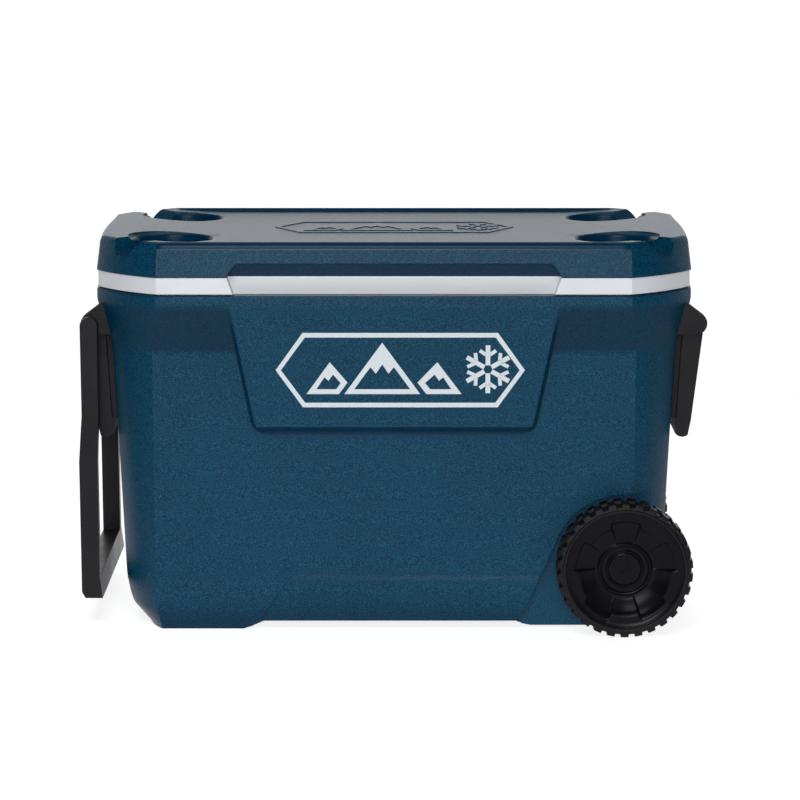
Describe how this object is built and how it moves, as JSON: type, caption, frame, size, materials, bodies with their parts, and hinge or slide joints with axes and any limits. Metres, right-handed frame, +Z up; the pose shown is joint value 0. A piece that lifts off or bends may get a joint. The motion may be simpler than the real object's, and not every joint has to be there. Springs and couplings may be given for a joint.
{
  "type": "wheeled cooler",
  "caption": "Hard-sided insulated cooler on wheels: hinged lid with cup holders, long tow handle, short carry handles and a drain.",
  "frame": {"origin": "ground level under the middle of the tub", "axes": "+X along the length towards the wheels, -Y towards the front, +Z up"},
  "size_m": [0.7066, 0.405, 0.443],
  "materials": {
    "blue_shell": "matte",
    "liner_white": "satin",
    "foam": "matte",
    "black_plastic": "satin",
    "tyre_plastic": "matte",
    "seal_rubber": "matte",
    "steel": "brushed"
  },
  "bodies": {
    "tub": {"outer_shell": "blue_shell", "body_foam": "foam", "inner_liner": "liner_white", "hinge_body_leaves": "black_plastic", "hinge_pins": "steel", "hinge_body_screws": "steel", "drain_spout": "liner_white", "drain_gasket": "seal_rubber", "drain_nut": "black_plastic", "drain_tether": "seal_rubber", "axle": "steel", "axle_washers": "steel", "axle_retainers": "steel", "axle_spacers": "black_plastic", "right_bracket": "black_plastic", "left_bracket": "black_plastic", "bracket_screws": "steel", "carry_pins": "steel", "tow_pins": "steel"},
    "lid": {"lid_shell": "blue_shell", "lid_liner": "liner_white", "lid_foam": "foam", "hinge_lid_leaves": "black_plastic", "hinge_lid_screws": "steel"},
    "front_wheel": {"front_tyre": "tyre_plastic", "front_wheel_disc": "black_plastic", "front_hub_cap": "black_plastic"},
    "rear_wheel": {"rear_tyre": "tyre_plastic", "rear_wheel_disc": "black_plastic", "rear_hub_cap": "black_plastic"},
    "tow_bail": {"tow_handle": "black_plastic"},
    "right_carry_bail": {"right_carry_handle": "black_plastic"},
    "left_carry_bail": {"left_carry_handle": "black_plastic"},
    "drain_plug": {"drain_cap": "black_plastic"}
  },
  "joints": [
    {"name": "lid_hinge", "type": "hinge", "parent": "tub", "child": "lid", "pos_m": [0, 0.198, 0.386], "axis": [-1, 0, 0], "range_deg": [0, 95]},
    {"name": "front_wheel_turn", "type": "hinge", "parent": "tub", "child": "front_wheel", "pos_m": [0.258, -0.18, 0.076], "axis": [0, 1, 0], "continuous": true},
    {"name": "rear_wheel_turn", "type": "hinge", "parent": "tub", "child": "rear_wheel", "pos_m": [0.258, 0.18, 0.076], "axis": [0, 1, 0], "continuous": true},
    {"name": "tow_handle_swing", "type": "hinge", "parent": "tub", "child": "tow_bail", "pos_m": [-0.342, 0, 0.344], "axis": [0, 1, 0], "range_deg": [0, 165]},
    {"name": "right_carry_swing", "type": "hinge", "parent": "tub", "child": "right_carry_bail", "pos_m": [0.3355, 0, 0.345], "axis": [0, -1, 0], "range_deg": [0, 90]},
    {"name": "left_carry_swing", "type": "hinge", "parent": "tub", "child": "left_carry_bail", "pos_m": [-0.3355, 0, 0.345], "axis": [0, 1, 0], "range_deg": [0, 90]},
    {"name": "drain_cap_turn", "type": "hinge", "parent": "tub", "child": "drain_plug", "pos_m": [0.09, 0.18, 0.053], "axis": [0, 1, 0], "continuous": true}
  ]
}
